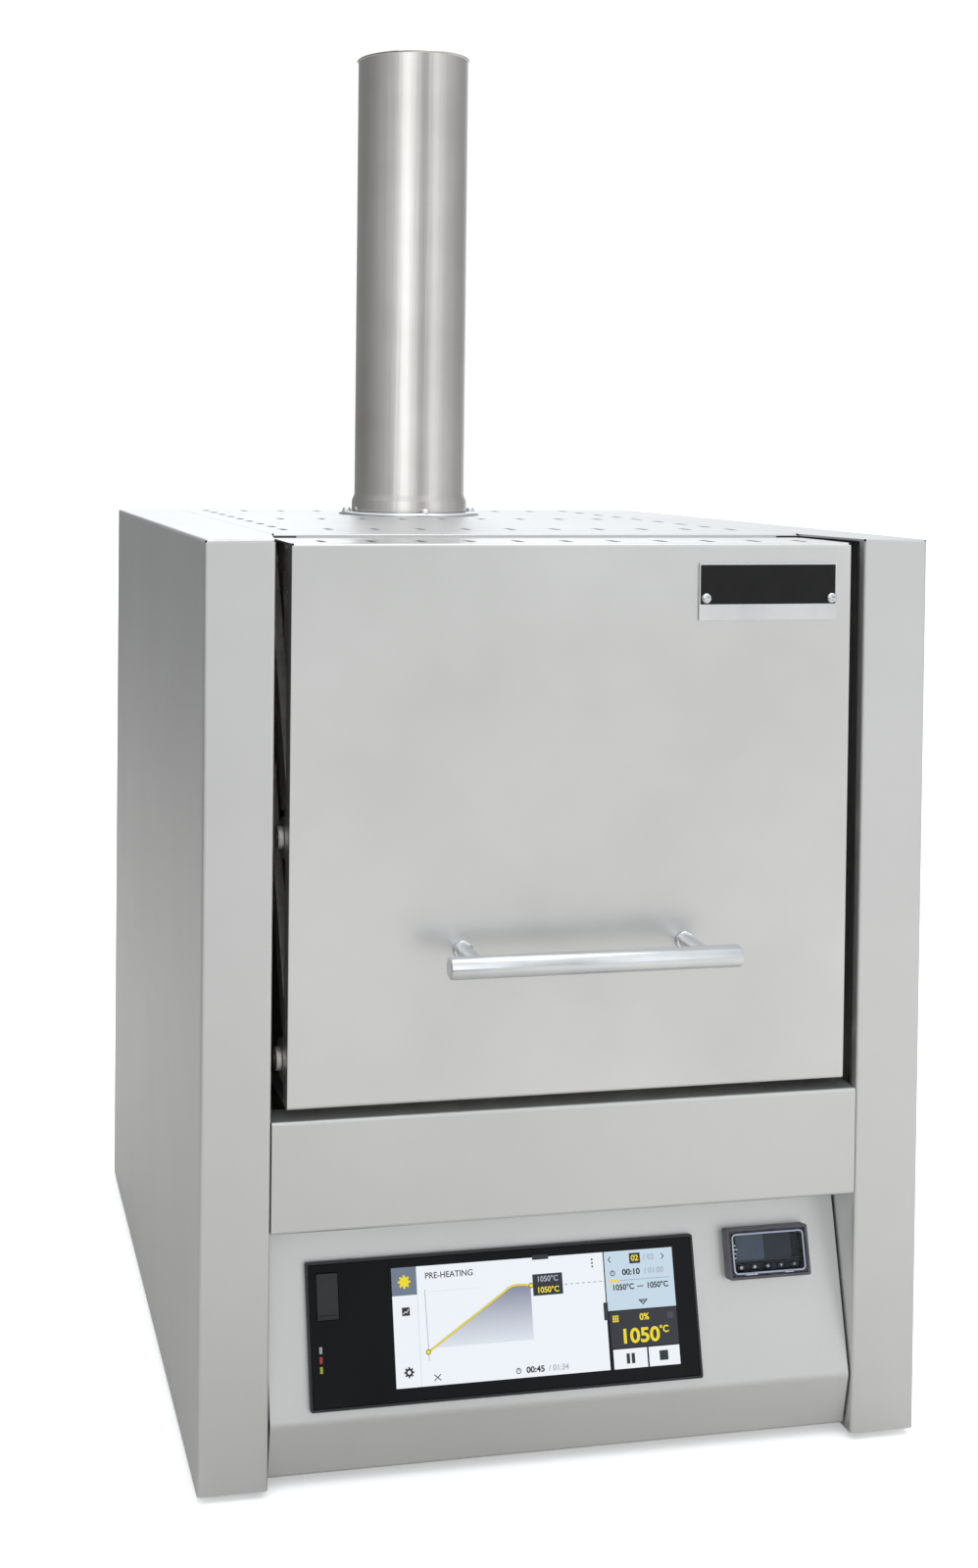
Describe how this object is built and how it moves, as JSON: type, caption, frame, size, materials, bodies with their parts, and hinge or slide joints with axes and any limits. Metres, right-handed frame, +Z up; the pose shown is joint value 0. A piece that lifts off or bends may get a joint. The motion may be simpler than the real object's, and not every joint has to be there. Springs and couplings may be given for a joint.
{
  "type": "ashing furnace",
  "caption": "Bench ashing furnace with a textured steel casing, a front door that lifts on a parallelogram linkage, a control nose and a round exhaust stack.",
  "frame": {"origin": "middle of the footprint, on the bench", "axes": "+Z up along the exhaust stack, -Y out of the door, +X towards the right-hand side seen from the front"},
  "size_m": [0.415, 0.4976, 0.85],
  "materials": {
    "textured_steel": "linen-embossed stainless steel",
    "inside_steel": "plain rolled stainless steel",
    "satin_steel": "satin-ground stainless steel",
    "stack_steel": "smooth rolled stainless steel",
    "zinc_steel": "zinc-plated steel",
    "rubber": "moulded rubber",
    "fibre": "vacuum-formed ceramic fibre board",
    "ceramic": "fired ceramic",
    "heater_plate": "cast ceramic with embedded wire",
    "black_plastic": "moulded plastic",
    "grey_plastic": "moulded plastic",
    "dark_window": "glossy dark window",
    "clear": "clear moulded plastic",
    "glass": "black printed glass"
  },
  "bodies": {
    "casing": {"left_side_panel": "textured_steel", "right_side_panel": "textured_steel", "top_cover": "textured_steel", "rear_panel": "textured_steel", "base_plate": "zinc_steel", "front_left_foot": "rubber", "front_right_foot": "rubber", "rear_left_foot": "rubber", "rear_right_foot": "rubber", "front_band": "textured_steel", "front_cross_member": "zinc_steel", "rear_cross_member": "zinc_steel", "inner_casing": "inside_steel", "chamber_collar": "fibre", "insulation_floor": "fibre", "insulation_roof": "fibre", "insulation_left": "fibre", "insulation_right": "fibre", "insulation_rear": "fibre", "heating_plate_left": "heater_plate", "heating_plate_right": "heater_plate", "hearth_plate": "ceramic", "thermocouple": "ceramic", "exhaust_duct": "ceramic", "exhaust_flange": "satin_steel", "control_panel": "textured_steel", "controller_housing": "black_plastic", "controller_glass": "glass", "usb_socket": "zinc_steel", "limiter_housing": "grey_plastic", "limiter_display": "dark_window", "lift_bracket_left": "zinc_steel", "lift_bracket_right": "zinc_steel", "power_inlet": "black_plastic"},
    "lift_arms": {"lift_shaft": "zinc_steel", "upper_arm_left": "zinc_steel", "upper_arm_right": "zinc_steel"},
    "door": {"door_cover": "textured_steel", "door_tray": "inside_steel", "door_insulation": "fibre", "name_plate": "satin_steel", "door_pin_upper_left": "zinc_steel", "door_pin_upper_right": "zinc_steel", "door_pin_lower_left": "zinc_steel", "door_pin_lower_right": "zinc_steel", "handle_bar": "satin_steel", "handle_standoff_left": "satin_steel", "handle_standoff_right": "satin_steel"},
    "lower_left": {"lower_arm_left": "zinc_steel"},
    "lower_right": {"lower_arm_right": "zinc_steel"},
    "stack": {"exhaust_tube": "stack_steel"},
    "usb_cover": {"usb_flap": "black_plastic"},
    "limiter_lid": {"limiter_cover": "clear"},
    "key_1": {"limiter_key_1": "black_plastic"},
    "key_2": {"limiter_key_2": "black_plastic"},
    "key_3": {"limiter_key_3": "black_plastic"},
    "key_4": {"limiter_key_4": "black_plastic"},
    "key_5": {"limiter_key_5": "black_plastic"},
    "rocker": {"power_switch": "black_plastic"}
  },
  "joints": [
    {"name": "lift", "type": "hinge", "parent": "casing", "child": "lift_arms", "pos_m": [0, -0.11875, 0.498], "axis": [-1, 0, 0], "range_deg": [0, 82.1]},
    {"name": "door_level", "type": "hinge", "parent": "lift_arms", "child": "door", "pos_m": [0, -0.18875, 0.352], "axis": [-1, 0, 0], "range_deg": [-82.1, 0]},
    {"name": "lower_left_swing", "type": "hinge", "parent": "casing", "child": "lower_left", "pos_m": [-0.155, -0.11875, 0.377], "axis": [-1, 0, 0], "range_deg": [0, 82.1]},
    {"name": "lower_right_swing", "type": "hinge", "parent": "casing", "child": "lower_right", "pos_m": [0.155, -0.11875, 0.377], "axis": [-1, 0, 0], "range_deg": [0, 82.1]},
    {"name": "stack_lift", "type": "slide", "parent": "casing", "child": "stack", "axis": [0, 0, 1], "range_m": [0, 0.06]},
    {"name": "usb_flap_hinge", "type": "hinge", "parent": "casing", "child": "usb_cover", "pos_m": [-0.1343, -0.19102, 0.11097], "axis": [-1, 0, 0], "range_deg": [0, 100]},
    {"name": "limiter_cover_hinge", "type": "hinge", "parent": "casing", "child": "limiter_lid", "pos_m": [0.12325, -0.19909, 0.09518], "axis": [1, 0, 0], "range_deg": [0, 100]},
    {"name": "key_1_press", "type": "slide", "parent": "casing", "child": "key_1", "axis": [0, 0.9688, -0.248], "range_m": [0, 0.0005], "stiffness_N_per_m": 400},
    {"name": "key_2_press", "type": "slide", "parent": "casing", "child": "key_2", "axis": [0, 0.9688, -0.248], "range_m": [0, 0.0005], "stiffness_N_per_m": 400},
    {"name": "key_3_press", "type": "slide", "parent": "casing", "child": "key_3", "axis": [0, 0.9688, -0.248], "range_m": [0, 0.0005], "stiffness_N_per_m": 400},
    {"name": "key_4_press", "type": "slide", "parent": "casing", "child": "key_4", "axis": [0, 0.9688, -0.248], "range_m": [0, 0.0005], "stiffness_N_per_m": 400},
    {"name": "key_5_press", "type": "slide", "parent": "casing", "child": "key_5", "axis": [0, 0.9688, -0.248], "range_m": [0, 0.0005], "stiffness_N_per_m": 400},
    {"name": "power_rocker", "type": "hinge", "parent": "casing", "child": "rocker", "pos_m": [-0.12, 0.24505, 0.075], "axis": [1, 0, 0], "range_deg": [0, 14]}
  ],
  "couplings": [
    {"joint": "door_level", "follows": "lift", "ratio": -1},
    {"joint": "lower_left_swing", "follows": "lift", "ratio": 1},
    {"joint": "lower_right_swing", "follows": "lift", "ratio": 1}
  ]
}
